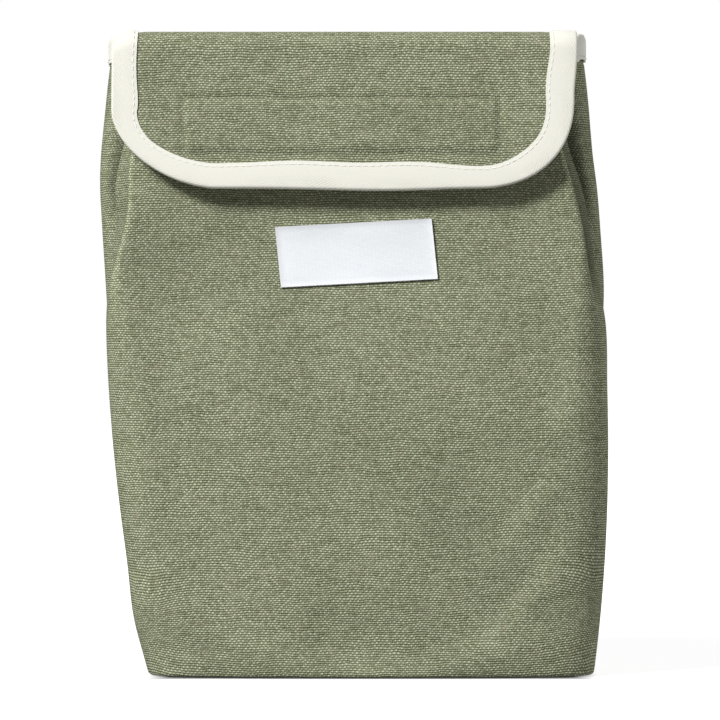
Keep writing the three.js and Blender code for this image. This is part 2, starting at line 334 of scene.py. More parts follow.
def thicken(piece, thickness, offset):
    """Gives a sheet a thickness in millimetres: inwards at offset -1, both ways at 0, outwards at 1."""
    pick(piece)
    wall = piece.modifiers.new("thickness", "SOLIDIFY")
    wall.thickness = thickness * MM
    wall.offset = offset
    bpy.ops.object.modifier_apply(modifier="thickness")
    piece.data.set_sharp_from_angle(angle=math.radians(55))


def run_lengths(points, axis):
    """Lengths along the rows or columns of a grid of points, from its start."""
    steps = np.linalg.norm(np.diff(points, axis=axis), axis=2)
    pad = [(0, 0), (0, 0)]
    pad[axis] = (1, 0)
    return np.cumsum(np.pad(steps, pad), axis=axis)


def steps_through(start, *legs):
    """Even steps from a start through legs, each given as its end and its number of steps."""
    made = [start]
    for end, steps in legs:
        made += list(np.linspace(made[-1], end, steps + 1)[1:])
    return made


def corner_steps(end, run, steps):
    """Steps over the last run before an end, closer together towards it."""
    return [end - run * (1 - math.sin(math.pi / 2 * i / steps)) for i in range(1, steps + 1)]


print("cloth helpers ready")

# %% [markdown]
# ## Canvas
# The canvas is a plain weave of slubby yarn, just under 1 mm from thread to thread. Pale dots show
# where a weft thread crosses over, in staggered rows with dark gaps between. A picture of cloth would
# repeat and blur; sines of the flat lengths give the same rows at any size. White noise for each
# crossing and long streaks for each thread break it up. Light and shade are also painted into the
# canvas: it is a tone paler low on the belly, standing in for light, paler along fold ridges as a
# painted highlight, and darker down in the creases as painted shade.

# %% Weave node group
weave, given, result = new_group(
    "plain_weave",
    {"Lengths": VECTOR, "Warp": FLOAT, "Weft": FLOAT, "Wander": FLOAT},
    {"Tone": FLOAT, "Height": FLOAT, "Slub": FLOAT},
)
drift = noise(weave, given["Lengths"], 55, 5, 0.6)["Color"]
off = vector_calc(weave, "SUBTRACT", drift, (0.5, 0.5, 0.5))[0]
laid = vector_calc(weave, "ADD", given["Lengths"], scaled(weave, off, given["Wander"]))[0]
axes = shader_node(weave, "ShaderNodeSeparateXYZ", {0: laid})
warp_count = calc(weave, "DIVIDE", axes["X"], given["Warp"])
weft_count = calc(weave, "DIVIDE", axes["Y"], given["Weft"])
across = calc(weave, "SINE", calc(weave, "MULTIPLY", warp_count, math.pi))
along = calc(weave, "SINE", calc(weave, "MULTIPLY", weft_count, math.pi))
over = calc(weave, "MULTIPLY", across, along)
warp_ridge = calc(weave, "ABSOLUTE", across)
ridge = calc(weave, "ABSOLUTE", along)
thread = calc(weave, "FLOOR", weft_count)
cell = {0: calc(weave, "FLOOR", warp_count), 1: thread}
crossing = {"Vector": shader_node(weave, "ShaderNodeCombineXYZ", cell)[0]}
speck = shader_node(weave, "ShaderNodeTexWhiteNoise", crossing, noise_dimensions="2D")["Value"]
on_thread = {0: calc(weave, "MULTIPLY", axes["X"], 75), 1: calc(weave, "MULTIPLY", thread, 5.3)}
streak = shader_node(weave, "ShaderNodeCombineXYZ", on_thread)[0]
slub = noise(weave, streak, 1, 2, noise_dimensions="2D")["Fac"]
dots = calc(weave, "MULTIPLY", over, calc(weave, "MULTIPLY_ADD", speck, 1.8, 0.1))
tone = calc(weave, "MULTIPLY_ADD", dots, 0.26, -0.36)
for part, weight in ((ridge, 0.73), (warp_ridge, 0.22), (speck, 0.3), (slub, 0.26)):
    tone = calc(weave, "MULTIPLY_ADD", part, weight, tone)
raised = calc(weave, "MULTIPLY_ADD", over, 0.5, ridge)
feed(weave, result, {"Tone": tone, "Height": raised, "Slub": slub})
print("weave group:", len(weave.nodes), "nodes")

# %% Canvas material
canvas, tree, shader = new_material("olive_canvas")
flat = shader_node(tree, "ShaderNodeUVMap", uv_map="cloth")["UV"]
place = shader_node(tree, "ShaderNodeTexCoord")["Object"]
threads = {"Lengths": flat, "Warp": 0.00086, "Weft": 0.00099, "Wander": 0.0029}
cloth = shader_node(tree, "ShaderNodeGroup", threads, node_tree=weave)
dye = ramp(tree, cloth["Tone"], (0.036, 0.041, 0.02), (0.5, 0.527, 0.39), (0.219, 0.236, 0.139))
shade = remap(tree, noise(tree, place, 26, 4)["Fac"], 0.3, 0.7, 0.9, 1.1)
# The fold attribute darkens the canvas as painted shade in creases and lightens it as a painted highlight
# on ridges.
fold = shader_node(tree, "ShaderNodeAttribute", attribute_name="fold")["Fac"]
painted_light_scale = calc(tree, "MULTIPLY_ADD", calc(tree, "MAXIMUM", fold, 0), -0.77, 1)
painted_light_scale = calc(tree, "MULTIPLY_ADD", calc(tree, "MINIMUM", fold, 0), -0.2, painted_light_scale)
# Painted light: the canvas is a tenth paler below 0.1 m, fading out by 0.165 m.
height = shader_node(tree, "ShaderNodeSeparateXYZ", {0: place})["Z"]
painted_paler_low = remap(tree, height, 0.1, 0.165, 1.1, 1.0, interpolation_type="SMOOTHSTEP")
painted_light_scale = calc(tree, "MULTIPLY", painted_light_scale, painted_paler_low)
faded = scaled(tree, dye, calc(tree, "MULTIPLY", shade, painted_light_scale))
warm = remap(tree, noise(tree, flat, 150, 1)["Fac"], 0.6, 0.75, 0.0, 0.22)
# A Mix node has its two colours at inputs 6 and 7, and the mixed one at output 2
blush = {0: warm, 6: faded, 7: (0.33, 0.285, 0.2, 1)}
finish = {
    "Base Color": shader_node(tree, "ShaderNodeMix", blush, data_type="RGBA")[2],
    "Roughness": remap(tree, cloth["Slub"], 0.2, 0.8, 0.98, 0.86),
    "Specular IOR Level": 0.0,
    "Sheen Weight": 0.01,
    "Sheen Roughness": 0.6,
    "Normal": bumped(tree, cloth["Height"], 0.7, 0.00028),
}
feed(tree, shader, finish)
print("canvas material:", len(tree.nodes), "nodes")

# %% [markdown]
# ## The bag's form
# From above, the bag is a rounded box that narrows to the base. The closed flap draws the front corners
# in at the top, so the sides pinch along their seams. A scan would give one frozen shape; measures that
# change with the height give the canvas, the lining and the tape the same form at their own depths. The
# bag also stands a little out of true.

# %% Measures of the bag at each height
FRONT, BACK = -1, 1
LEFT, RIGHT = -1, 1
RIM_HEIGHT = 261.6
BELLY_HALF = 105.5
BASE_HALF = 94.0
RIM_HALF = 102.5
FRONT_DRAW = 23.5
BASE_DEPTH = 58
BELLY_HEIGHT = 140
TUCK_HEIGHT = 130
BEND_HEIGHT, BEND_RUN = 90, 60
CROWN = 6
BASE_CROWN = 3
WALL_SLOPE = 0.15537
BASE_EDGE = 1.4
LEAN_BASE, LEAN_TOP, LEAN_HEIGHT = 4.8, -5.6, 222


def lean(z):
    """How far the bag leans to the right at a height."""
    return LEAN_BASE + (LEAN_TOP - LEAN_BASE) * share(z, 0, LEAN_HEIGHT)


def wall_depth(z):
    """Half the depth of the bag, without the crown of its walls."""
    rise = max(z - BEND_HEIGHT, 0)
    climb = rise**2 / (2 * BEND_RUN) if rise < BEND_RUN else rise - BEND_RUN / 2
    return BASE_DEPTH - BASE_CROWN * share(z, BEND_HEIGHT, 0) ** 2 - WALL_SLOPE * climb


def measures(z, side):
    """Half-widths at the back, the front and the seam of the left or right side."""
    below = share(z, BELLY_HEIGHT, 0) ** 2.2
    above = share(z, BELLY_HEIGHT, RIM_HEIGHT) ** 2
    tuck = share(z, TUCK_HEIGHT, RIM_HEIGHT)
    belly = BELLY_HALF - (BELLY_HALF - BASE_HALF) * below - (BELLY_HALF - RIM_HALF) * above
    back = belly + 3.3 * swell(z, 216, 44) + 0.6 * eased(z, 236, 256)
    back += 2.6 * eased(z, TUCK_HEIGHT, 180) * (1 - 0.5 * share(z, 240, 262))
    front = belly - FRONT_DRAW * tuck**1.5
    if side == RIGHT:
        front -= 2.5 * swell(z, 165, 19)
        back += 1.8 * swell(z, 160, 18)
    else:
        back -= 0.8 * swell(z, 170, 14)
        front -= 3.6 * swell(z, 194, 15) + swell(z, 178, 9)
        front += 1.5 * swell(z, 24, 16)
        back += 1.5 * swell(z, 24, 16)
    seam = (front + back) / 2 - 5 * tuck**2 - 1.8 * eased(z, 203, 224)
    if side == LEFT:
        seam += 1.5 * swell(z, 214, 22)
    return back, front, seam


def slack(x, z, wall):
    """How far the cloth of a wall stands out from its plain form, where it is slack or dented."""
    still = math.sin(math.pi * share(z, 4, 205)) ** 2 * (1 - min(abs(x) / 104, 1) ** 4)
    wave = 0.5 * math.sin(0.05 * x + 0.9 * math.sin(z / 37) + wall)
    wave += 0.45 * math.sin(z / 21 + 0.018 * x)
    dent = -1.5 * swell(x, 74, 13) * swell(z, 31, 12) + 0.9 * swell(x, 58, 13) * swell(z, 50, 13)
    dent += -0.9 * swell(x, -68, 18) * swell(z, 15, 9)
    return wave * still + (dent if wall == FRONT else 0)


print("half-widths at the belly:", measures(BELLY_HEIGHT, RIGHT), "depth:", wall_depth(BELLY_HEIGHT))

# %% Half an outline, from the middle of a wall to the side seam
WALL_COLUMNS = 23
CORNER_COLUMNS = 6
SIDE_COLUMNS = 9
TAB_COLUMN = WALL_COLUMNS
BASE_CORNER, RIM_CORNER, BELLY_CORNER = 18, 6, 8


def half_outline(z, inset, side, wall):
    """Points from the middle of the front or back wall to the seam of one side, drawn in by the inset."""
    back, front, seam = measures(z, side)
    full = wall_depth(z)
    front_lean = (seam - front) / full
    back_lean = (back - seam) / full
    seam -= inset * (math.hypot(1, front_lean) + math.hypot(1, back_lean)) / 2
    depth = full - inset
    half = seam - front_lean * depth if wall == FRONT else seam + back_lean * depth
    corner = BASE_CORNER + (RIM_CORNER - BASE_CORNER) * z / RIM_HEIGHT
    corner += BELLY_CORNER * math.sin(math.pi * min(z / RIM_HEIGHT, 1))
    if wall == FRONT:
        corner *= 1 - 0.82 * eased(z, 128, 178)
    corner = max(corner - inset, 2)
    crown = CROWN * math.sin(math.pi / 2 * share(z, 198, 104)) ** 2
    crown += BASE_CROWN * share(z, BEND_HEIGHT, 0) ** 2
    flat_end = half - corner

    def on_wall(x):
        return x, depth + crown * (1 - (x / half) ** 2) + slack(side * x, z, wall)

    points = [on_wall(flat_end * i / WALL_COLUMNS) for i in range(WALL_COLUMNS)]
    start = Vector(on_wall(flat_end))
    tip = Vector((half, depth))
    end = tip + (Vector((seam, 0)) - tip).normalized() * corner
    for i in range(CORNER_COLUMNS):
        t = i / CORNER_COLUMNS
        points.append(tuple(start * (1 - t) ** 2 + tip * 2 * t * (1 - t) + end * t**2))
    if wall == FRONT:
        bow = (1.2 if side == LEFT else 2.8) * swell(z, 160, 30)
    else:
        bow = 1.2 * swell(z, 150, 55)
    bend = 1 + (2 if (side, wall) == (RIGHT, FRONT) else 4.5) * eased(z, 140, 195)
    lip = eased(z, 165, 205)
    groove = (1.4 + 2.2 * lip) * eased(z, 6, 40)
    for i in range(SIDE_COLUMNS + 1):
        t = 1 - (1 - i / SIDE_COLUMNS) ** 1.7
        y = end.y * (1 - t)
        if wall == FRONT:
            risen = min(t / (1 - 0.15 * lip), 1) ** bend
            sunk = groove * (1 - eased(y, 0, 2 + 3.5 * lip))
        else:
            risen = t**bend
            sunk = groove * swell(y, 0, 2.1)
        x = end.x + (seam - end.x) * risen + bow * 4 * t * (1 - t)
        points.append((x - sunk, y))
    return [(side * x, wall * y) for x, y in points]


COLUMNS = 2 * (WALL_COLUMNS + CORNER_COLUMNS + SIDE_COLUMNS) + 1
MIDDLE = COLUMNS // 2
EAR_RISE = {LEFT: 9.6, RIGHT: 11.2}
EAR_THIN = 0.36
EAR_NARROW = 1.3
TAPE_DOWN = 11.8
RIM_TOP = 262.7


def half_row(z, inset, side, wall, height, lift):
    """Half a row in its place. It leans, and tape at the rear corner of the rim stands up as an ear."""
    plain = half_outline(z, inset, side, wall)
    outer = half_outline(z, 0, side, wall)
    pressed = inset * EAR_THIN if inset > 0 else inset
    thin = half_outline(z, pressed, side, wall)
    high = half_outline(min(z + lift * EAR_RISE[side], RIM_HEIGHT), pressed, side, wall)
    climb = EAR_RISE[side] + EAR_NARROW * (1 - share(height, RIM_TOP - TAPE_DOWN, RIM_TOP - 3))
    row = []
    for column, ((x, y), (thin_x, thin_y), (high_x, high_y)) in enumerate(zip(plain, thin, high)):
        ear = share(column, TAB_COLUMN, TAB_COLUMN + 1) * eased(z, 215, 258)
        flat = ear * eased(outer[column][1], -20, 2)
        up = ear * eased(outer[column][1], 1, 8)
        x += (thin_x - x) * flat + (high_x - thin_x) * up
        y += (thin_y - y) * flat + (high_y - thin_y) * up
        row.append((x + lean(z), y, height + up * lift * climb))
    return row


def panel_row(z, inset, wall):
    """One row of a panel, from the left seam to the right."""
    left = half_row(z, inset, LEFT, wall, z, 0)
    return left[::-1] + half_row(z, inset, RIGHT, wall, z, 0)[1:]


print("columns in a panel:", COLUMNS, "seam at 230 mm:", half_outline(230, 0, RIGHT, FRONT)[-1])

# %% [markdown]
# ## Front panel
# The front panel is one cut of canvas: the front wall, the front halves of both sides, and the front
# half of the base. Five plates would show a hard edge at each corner. Rows of the outline, lofted from
# the base to the rim, give one shell with soft corners. It is then let go as cloth, sewn along its
# edges, so that it sags and fills out over the foam.


# %% Rows of a panel, and its lengths
PANEL_ROWS = 52
EDGE_ROWS = 4


def panel_rows(wall, inset, floor_height, rows):
    """Rows from the base's turned edge up to the rim."""
    made = []
    for step in range(EDGE_ROWS):
        angle = math.pi / 2 * step / EDGE_ROWS
        edge = BASE_EDGE * (1 - math.sin(angle))
        made.append(panel_row(floor_height + BASE_EDGE * (1 - math.cos(angle)), inset + edge, wall))
    low = floor_height + BASE_EDGE
    for step in range(rows + 1):
        made.append(panel_row(low + (RIM_HEIGHT - low) * step / rows, inset, wall))
    return np.array(made)


def panel_lengths(points, wall):
    """Flat lengths of a panel: round the row from its middle, and up its middle column."""
    round_it = run_lengths(points, 1)
    round_it = round_it - round_it[:, MIDDLE : MIDDLE + 1]
    up = run_lengths(points, 0)[:, MIDDLE : MIDDLE + 1]
    pulled = np.zeros(points.shape[:2])
    if wall == FRONT:
        for x, z, pull in ((101, 26, 0.7), (-90, 20, 0.5)):
            away = ((points[:, :, 0] - x) / 15) ** 2 + ((points[:, :, 2] - z) / 15) ** 2
            pulled += pull * (points[:, :, 2] - z) * np.exp(-away)
    return np.stack([round_it, up + pulled], axis=2)


def painted_fold_light(point, column, wall):
    """Painted light on the canvas: up to 1 for painted shade deep in a crease, down to -1 for a painted
    highlight on a fold's ridge.
    """
    side = LEFT if column < MIDDLE else RIGHT
    round_corner = abs(column - MIDDLE) - WALL_COLUMNS
    crisp = eased(point[2], 150, 175)
    # Painted highlight along the front corner's ridge; painted shade in the side creases and at the
    # seams.
    if round_corner < CORNER_COLUMNS:
        painted_ridge_highlight = swell(round_corner, 3.5, 1.5) * (1 if side == LEFT else 0.5)
        return -crisp * painted_ridge_highlight if wall == FRONT else 0
    pinched = eased(point[2], 186, 206)
    if wall == FRONT:
        into = share(round_corner - CORNER_COLUMNS, 0.5, 7)
        return crisp * (0.25 * (1 - into) if side == LEFT else 0.8 - 0.4 * into * (1.6 - into))
    if side == LEFT:
        return 0.7 * pinched * (1 - eased(point[1], 1.5, 4))
    return 0.9 * pinched * (1 - eased(point[1], 1.5, 5.5))


def panel_painted_light(points, wall):
    """The painted shade and highlight of every point of a panel."""
    return np.array([[painted_fold_light(p, column, wall) for column, p in enumerate(row)] for row in points])


def base_face(columns, flip):
    """The half of the base that closes the lowest row."""
    ring = tuple(range(columns))
    return ring if flip else ring[::-1]


print("rows and columns of the front:", panel_rows(FRONT, 0, 0, PANEL_ROWS).shape)

# %% Let a panel go as cloth
SETTLE_FRAMES = 16
SETTLE_PRESSURE = 2.0
SETTLE_CAP = 2.0
SEWN_BELOW = 4
SEWN_COLUMNS = CORNER_COLUMNS + SIDE_COLUMNS


def settle(panel, rows, sewn_above):
    """A short cloth run. Sides, base and top are sewn, and no point moves further than the cap."""
    heights = rows[:, :, 2].ravel()
    columns = np.arange(heights.size) % COLUMNS
    aside = (columns < SEWN_COLUMNS) | (columns >= COLUMNS - SEWN_COLUMNS)
    sewn = np.where((heights > sewn_above) | (heights < SEWN_BELOW) | aside)[0]
    count = len(panel.data.vertices)
    start = np.zeros(count * 3)
    panel.data.vertices.foreach_get("co", start)
    start = start.reshape(-1, 3)
    panel.vertex_groups.new(name="sewn").add([int(i) for i in sewn], 1.0, "REPLACE")
    cloth = panel.modifiers.new("settle", "CLOTH")
    settings = cloth.settings
    settings.vertex_group_mass = "sewn"
    settings.quality = 6
    settings.mass = 0.3
    settings.tension_stiffness = 25
    settings.compression_stiffness = 25
    settings.bending_stiffness = 4
    settings.use_pressure = True
    settings.uniform_pressure_force = SETTLE_PRESSURE
    settings.effector_weights.gravity = 0.35
    cloth.point_cache.frame_end = SETTLE_FRAMES
    for step in range(1, SETTLE_FRAMES + 1):
        bpy.context.scene.frame_set(step)
    posed = panel.evaluated_get(bpy.context.evaluated_depsgraph_get())
    end = np.zeros(count * 3)
    posed.data.vertices.foreach_get("co", end)
    panel.modifiers.remove(cloth)
    panel.vertex_groups.clear()
    bpy.context.scene.frame_set(1)
    move = end.reshape(-1, 3) - start
    far = np.linalg.norm(move, axis=1, keepdims=True)
    move *= np.minimum(1, SETTLE_CAP * MM / np.maximum(far, 1e-9))
    panel.data.vertices.foreach_set("co", (start + move).ravel())
    panel.data.update()
    return float(far.max() / MM)


print("cloth run ready; skipped now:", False)

# %% Front panel of canvas
CANVAS_THICKNESS = 1.2
FRONT_SEWN, BACK_SEWN = 205, 235
rows = panel_rows(FRONT, 0, 0, PANEL_ROWS)
lengths = panel_lengths(rows, FRONT)
faces = grid_faces(len(rows), COLUMNS, False) + [base_face(COLUMNS, False)]
canvas_front = lay_sheet("canvas_front", rows, lengths, faces, canvas, panel_painted_light(rows, FRONT))
moved = settle(canvas_front, rows, FRONT_SEWN)
refine(canvas_front)
thicken(canvas_front, CANVAS_THICKNESS, -1)
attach(canvas_front, "bag")
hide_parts("outer_front_panel", "insulation_front")
print("front canvas:", len(canvas_front.data.polygons), "faces; the cloth wanted", round(moved, 1), "mm")

# %% [markdown]
# ## The flap's line
# From the side, the flap is one line: up the back, round a soft fold, across the mouth, round the front
# fold and down the front, leaning out a little. Every layer of the flap follows this line at its own
# depth, so that canvas and tape stay parallel through both folds. Bending finished plates would stretch
# the outer layers and crush the inner ones.

# %% Trace the flap's line
RIM_DEPTH = 36
REAR_RADIUS = 6.0
FRONT_RADIUS = 8.0
FLAP_TOP = 268.9
FOLD_Y = -43.47
FLAP_DROP = 64.0
FLAP_LEAN = math.atan(WALL_SLOPE)
FRONT_TURN = math.pi / 2 - FLAP_LEAN
FOLD_SETBACK = FRONT_RADIUS * math.tan(FRONT_TURN / 2)
REAR_MIDDLE = RIM_DEPTH - REAR_RADIUS
FRONT_MIDDLE = FOLD_Y + FOLD_SETBACK
REAR_RISE = FLAP_TOP - REAR_RADIUS - RIM_HEIGHT
REAR_END = REAR_RISE + REAR_RADIUS * math.pi / 2
MID_TOP = REAR_END + REAR_MIDDLE
TOP_END = MID_TOP - FRONT_MIDDLE
FOLD_END = TOP_END + FRONT_RADIUS * FRONT_TURN
FLAP_END = FOLD_END + FLAP_DROP - FOLD_SETBACK
FLAP_ASIDE = -6.5


def flap_line(s, depth):
    """Where the flap's line is, a length s from the back rim and a depth under the canvas, as y and z."""
    if s < REAR_RISE:
        return RIM_DEPTH - depth, RIM_HEIGHT + s
    if s < REAR_END:
        angle = (s - REAR_RISE) / REAR_RADIUS
        radius = REAR_RADIUS - depth
        return REAR_MIDDLE + radius * math.cos(angle), FLAP_TOP - REAR_RADIUS + radius * math.sin(angle)
    if s < TOP_END:
        return REAR_MIDDLE - (s - REAR_END), FLAP_TOP - depth
    if s < FOLD_END:
        angle = math.pi / 2 + (s - TOP_END) / FRONT_RADIUS
        radius = FRONT_RADIUS - depth
        return FRONT_MIDDLE + radius * math.cos(angle), FLAP_TOP - FRONT_RADIUS + radius * math.sin(angle)
    down = FOLD_SETBACK + s - FOLD_END
    y = FOLD_Y - math.sin(FLAP_LEAN) * down + math.cos(FLAP_LEAN) * depth
    return y, FLAP_TOP - math.cos(FLAP_LEAN) * down - math.sin(FLAP_LEAN) * depth


def flap_point(x, s, depth):
    """A point of the flap. Its front fold stands up a little, and the corner on the left has slumped."""
    y, z = flap_line(s, depth)
    rise = 1.8 * swell(s, TOP_END + 4, 14)
    slump = 4.8 * share(x, -91, -98) ** 2 * swell(s, TOP_END + 4, 16)
    return x + FLAP_ASIDE, y, z + rise - slump


print("flap line:", round(FLAP_END, 1), "mm from the back rim; front fold at", round(TOP_END, 1))

# %% [markdown]
# ## Back panel
# The back is cut like the front, but its middle runs on over the rear fold as the root of the flap.
# Sewing on a second piece there would show a seam that the real bag doesn't have. So the rows go on
# past the rim for the columns between the ends of the rim tape, and the sheet runs on round the rear
# fold into the flap.

# %% Back panel of canvas, as far as the middle of the flap's top
FLAP_HALF = 96.7
TAB_HALF = half_outline(RIM_HEIGHT, 0, RIGHT, BACK)[TAB_COLUMN][0]
rows = panel_rows(BACK, 0, 0, PANEL_ROWS)
painted_light = panel_painted_light(rows, BACK)
rim_at = len(rows) - 1
root = steps_through(REAR_RISE / 2, (REAR_RISE, 1), (REAR_END, 6), (MID_TOP, 12))


def root_x(part, s):
    """Where a share of the root's half-width is, as the root passes from the bag's line to the flap's."""
    rooted = eased(s, 0, REAR_END)
    half = TAB_HALF + (FLAP_HALF - TAB_HALF) * rooted
    return part * half + (lean(RIM_HEIGHT) - FLAP_ASIDE) * (1 - rooted)


more = [[flap_point(root_x((i - MIDDLE) / TAB_COLUMN, s), s, 0) for i in range(COLUMNS)] for s in root]
rows = np.concatenate([rows, np.array(more)])
painted_light = np.concatenate([painted_light, np.zeros((len(root), COLUMNS))])
lengths = panel_lengths(rows, BACK)
RIM_LENGTH = float(lengths[rim_at, MIDDLE, 1])


def in_panel(row, column):
    """Below the rim all columns are cloth, and above it only the flap's root."""
    return row < rim_at or abs(column + 0.5 - MIDDLE) < TAB_COLUMN


faces = grid_faces(len(rows), COLUMNS, True, in_panel) + [base_face(COLUMNS, True)]
canvas_back = lay_sheet("canvas_back", rows, lengths, faces, canvas, painted_light)
moved = settle(canvas_back, rows, BACK_SEWN)
drop_loose(canvas_back)
refine(canvas_back)
thicken(canvas_back, CANVAS_THICKNESS, -1)
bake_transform(canvas_back)
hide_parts("outer_back_panel", "insulation_back", "flap_top_insulation")
print("back canvas:", len(canvas_back.data.polygons), "faces; the cloth wanted", round(moved, 1), "mm")

# %% [markdown]
# ## Flap front
# The flap's front is padded and quilted by one thing only: the stitched rectangle that holds the
# closure strip behind it. Bump could fake that, but not in the outline of a fold. So the stitch line is
# pressed into the mesh, and the field inside it stands up. The two lower corners are cut round, the
# left one wider than the right.

# %% The flap's outline on the front
CORNERS = {LEFT: (43.0, 32.0, 1.75, 0.0), RIGHT: (40.0, 37.5, 2.25, 1.4)}


def flap_half(s, side):
    """Half the flap's width at a length s, less where a lower corner is rounded."""
    wide, tall, roundness, draw = CORNERS[side]
    into = share(s, FLAP_END - tall, FLAP_END)
    straight = FLAP_HALF - draw * eased(s, FOLD_END, FLAP_END - tall)
    return straight - wide * (1 - max(1 - into**roundness, 0) ** (1 / roundness))


STRIP_LENGTH = 136.0
STRIP_HEIGHT = 27.0
STRIP_ASIDE = -1.5
STRIP_TOP = FOLD_END - FOLD_SETBACK + 25.2
STRIP_BOTTOM = STRIP_TOP + STRIP_HEIGHT
STITCH_MARGIN = 1.8
FIELD_HALF = STRIP_LENGTH / 2 - STITCH_MARGIN
FIELD_TOP, FIELD_BOTTOM = STRIP_TOP + STITCH_MARGIN, STRIP_BOTTOM - STITCH_MARGIN


def outside_field(x, s):
    """How far a place is outside the stitched rectangle, or below 0 inside it."""
    return max(abs(x - STRIP_ASIDE) - FIELD_HALF, FIELD_TOP - s, s - FIELD_BOTTOM)


def flap_relief(x, s):
    """How far the flap's canvas stands up: a soft fill, a raised field and a pressed stitch line."""
    edge = min(FLAP_HALF - abs(x), FLAP_END - s)
    fill = 0.5 * eased(edge, 7, 14)
    ripple = 0.35 * math.sin(x / 13 + 0.6 * math.sin(s / 9)) * eased(s, FOLD_END, FOLD_END + 15)
    outside = outside_field(x, s)
    field = 0.7 * eased(outside, 1.5, -2.5)
    pressed = 0.8 * swell(outside, 0, 1.1)
    return fill + ripple * eased(edge, 8, 20) + field - pressed


# %% Flap canvas from the middle of the top down the front
FLAP_COLUMNS = 170
CORNER_RUN = 34
stations = steps_through(MID_TOP, (TOP_END, 13), (FOLD_END, 10), (FLAP_END - CORNER_RUN, 26))
stations += corner_steps(FLAP_END, CORNER_RUN, 30)
rows, lengths, painted_light = [], [], []
for s in stations:
    xs = np.linspace(-flap_half(s, LEFT), flap_half(s, RIGHT), FLAP_COLUMNS + 1)
    blend_in = eased(s, MID_TOP, MID_TOP + 12)
    rows.append([flap_point(x, s, -flap_relief(x, s) * blend_in) for x in xs])
    lengths.append([(x, s + RIM_LENGTH) for x in xs])
    # Painted shade along the stitched line of the closure rectangle.
    painted_light.append([0.12 * swell(outside_field(x, s), 0, 0.9) for x in xs])
rows, lengths = np.array(rows), np.array(lengths)
faces = grid_faces(len(rows), FLAP_COLUMNS + 1, True)
flap_canvas = lay_sheet("flap_canvas", rows, lengths, faces, canvas, np.array(painted_light))
thicken(flap_canvas, CANVAS_THICKNESS, -1)
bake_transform(flap_canvas)
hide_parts("flap_top_canvas", "flap_front_canvas", "flap_front_insulation")
print("flap canvas:", len(flap_canvas.data.polygons), "faces")

# %% [markdown]
# ## Tape
# All raw edges are bound in cream cotton tape, folded over them and sewn through. Its twill shows as
# fine slanting lines, clearest along the fold. A plain pale strip would look like plastic, so the lines
# are drawn on the tape's own lengths, across and along, and raised a little.

# %% Twill node group and tape material
twill, given, result = new_group(
    "twill_lines",
    {"Lengths": VECTOR, "Pitch": FLOAT, "Slant": FLOAT},
    {"Line": FLOAT, "Fuzz": FLOAT},
)
axes = shader_node(twill, "ShaderNodeSeparateXYZ", {0: given["Lengths"]})
slanted = calc(twill, "MULTIPLY_ADD", axes["X"], given["Slant"], axes["Y"])
wobble = noise(twill, given["Lengths"], 260, 2)["Fac"]
slanted = calc(twill, "MULTIPLY_ADD", wobble, 0.0005, slanted)
count = calc(twill, "DIVIDE", slanted, given["Pitch"])
line = calc(twill, "SINE", calc(twill, "MULTIPLY", count, 2 * math.pi))
line = calc(twill, "MULTIPLY_ADD", line, 0.5, 0.5)
feed(twill, result, {"Line": line, "Fuzz": noise(twill, given["Lengths"], 1500, 2)["Fac"]})

tape, tree, shader = new_material("cream_tape")
flat = shader_node(tree, "ShaderNodeUVMap", uv_map="cloth")["UV"]
twill_size = {"Lengths": flat, "Pitch": 0.00115, "Slant": 0.55}
lines = shader_node(tree, "ShaderNodeGroup", twill_size, node_tree=twill)
patchy = remap(tree, noise(tree, flat, 70, 3)["Fac"], 0.35, 0.65, 0.3, 1.0)
across = shader_node(tree, "ShaderNodeSeparateXYZ", {0: flat})["Y"]
near_fold = remap(tree, across, 0.0055, 0.0098, 0.1, 1.0)
sunk = calc(tree, "MULTIPLY", calc(tree, "MULTIPLY", lines["Line"], patchy), near_fold)
yarn = ramp(tree, sunk, (0.757, 0.744, 0.673), (0.63, 0.62, 0.54))
finish = {
    "Base Color": scaled(tree, yarn, remap(tree, lines["Fuzz"], 0.2, 0.8, 0.95, 1.04)),
    "Roughness": remap(tree, lines["Fuzz"], 0, 1, 0.8, 0.95),
    "Specular IOR Level": 0.2,
    "Normal": bumped(tree, sunk, 0.45, 0.00018, invert=True),
}
feed(tree, shader, finish)
print("tape material:", len(tree.nodes), "nodes")

# %% The flap's edge, and tape folded over it
TAPE_THICKNESS = 0.8
TAPE_FACE = 10.4
FLAP_TAPE_FOLD, RIM_TAPE_FOLD = 6, 4
EDGE_STEPS = 60


def corner_points(side):
    """Points round a lower corner of the flap, from the side to the bottom."""
    wide, tall, roundness, draw = CORNERS[side]
    points = []
    for angle in np.linspace(0, math.pi / 2, 33):
        out = max(math.cos(angle), 0) ** (2 / roundness)
        down = max(math.sin(angle), 0) ** (2 / roundness)
        points.append((side * (FLAP_HALF - draw - wide * (1 - out)), FLAP_END - tall * (1 - down)))
    return points


def bottom_sag(x):
    """How far the flap's lower edge hangs below its two ends."""
    return 0.9 * math.sin(math.pi * share(x, -54, 56) ** 1.5) ** 2


def edge_path(first, last):
    """The flap's edge as x, s and the way inwards: down the left, along and up the right."""
    left, right = corner_points(LEFT), corner_points(RIGHT)[::-1]
    line = [(-flap_half(s, LEFT), s) for s in np.linspace(first, left[0][1], EDGE_STEPS)[:-1]] + left
    lower = np.linspace(left[-1][0], right[0][0], EDGE_STEPS)[1:-1]
    line += [(x, FLAP_END + bottom_sag(x)) for x in lower] + right
    line += [(flap_half(s, RIGHT), s) for s in np.linspace(right[-1][1], last, EDGE_STEPS)[1:]]
    line = np.array(line)
    along = np.gradient(line, axis=0)
    along /= np.linalg.norm(along, axis=1, keepdims=True)
    return [(x, s, ahead_s, -ahead_x) for (x, s), (ahead_x, ahead_s) in zip(line, along)]


